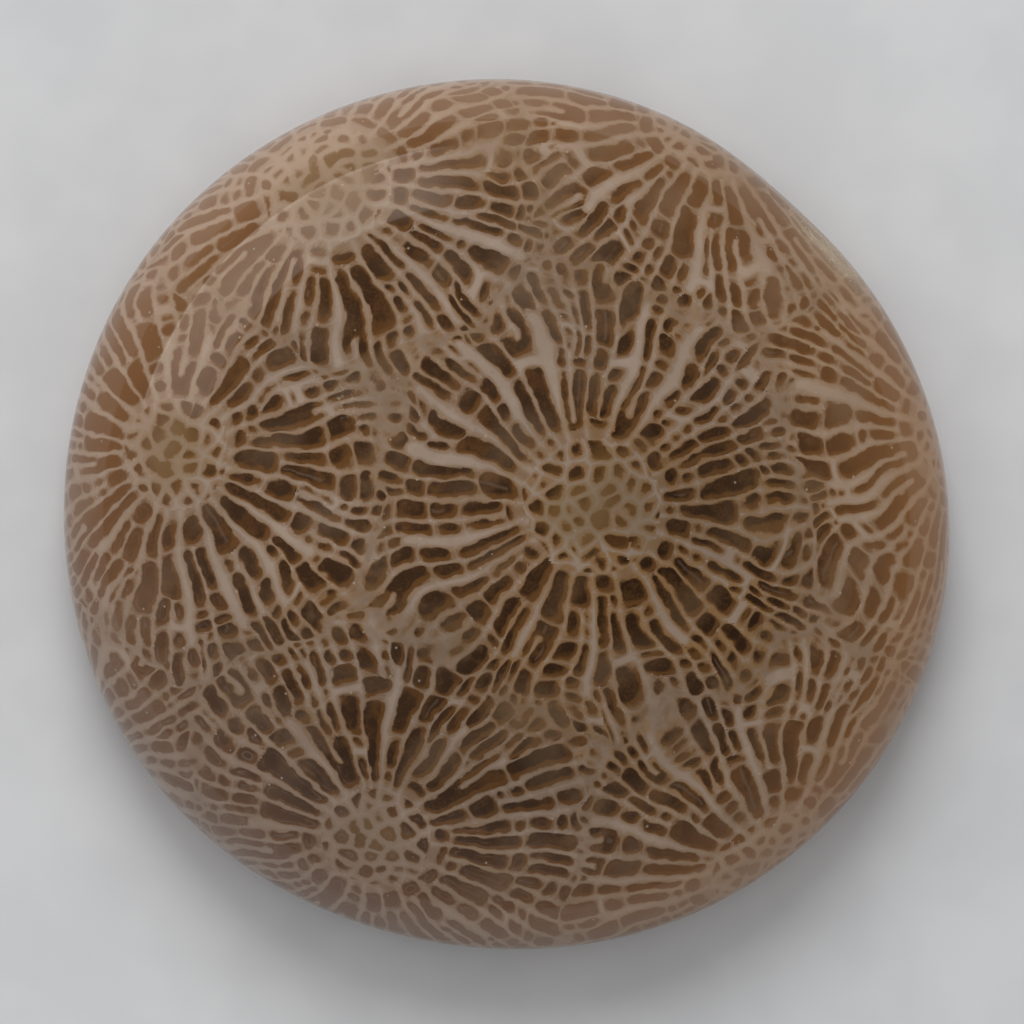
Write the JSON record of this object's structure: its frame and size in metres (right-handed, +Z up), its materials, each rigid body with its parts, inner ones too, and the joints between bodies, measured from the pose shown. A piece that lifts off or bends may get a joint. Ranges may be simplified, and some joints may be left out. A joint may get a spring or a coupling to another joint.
{
  "type": "polished fossil coral cabochon",
  "caption": "Round polished cabochon cut from silicified star coral: a low dome, a short steep side, a ground bevel and a flat back to rest on or to set in a bezel.",
  "frame": {"origin": "centre of the flat back", "axes": "+Z up out of the dome, +X to the right and +Y to the top of the stone as it is pictured from above"},
  "size_m": [0.0253, 0.0248, 0.0072],
  "materials": {
    "fossil_coral": "polished"
  },
  "bodies": {
    "root": {"coral_cabochon": "fossil_coral"}
  },
  "joints": []
}
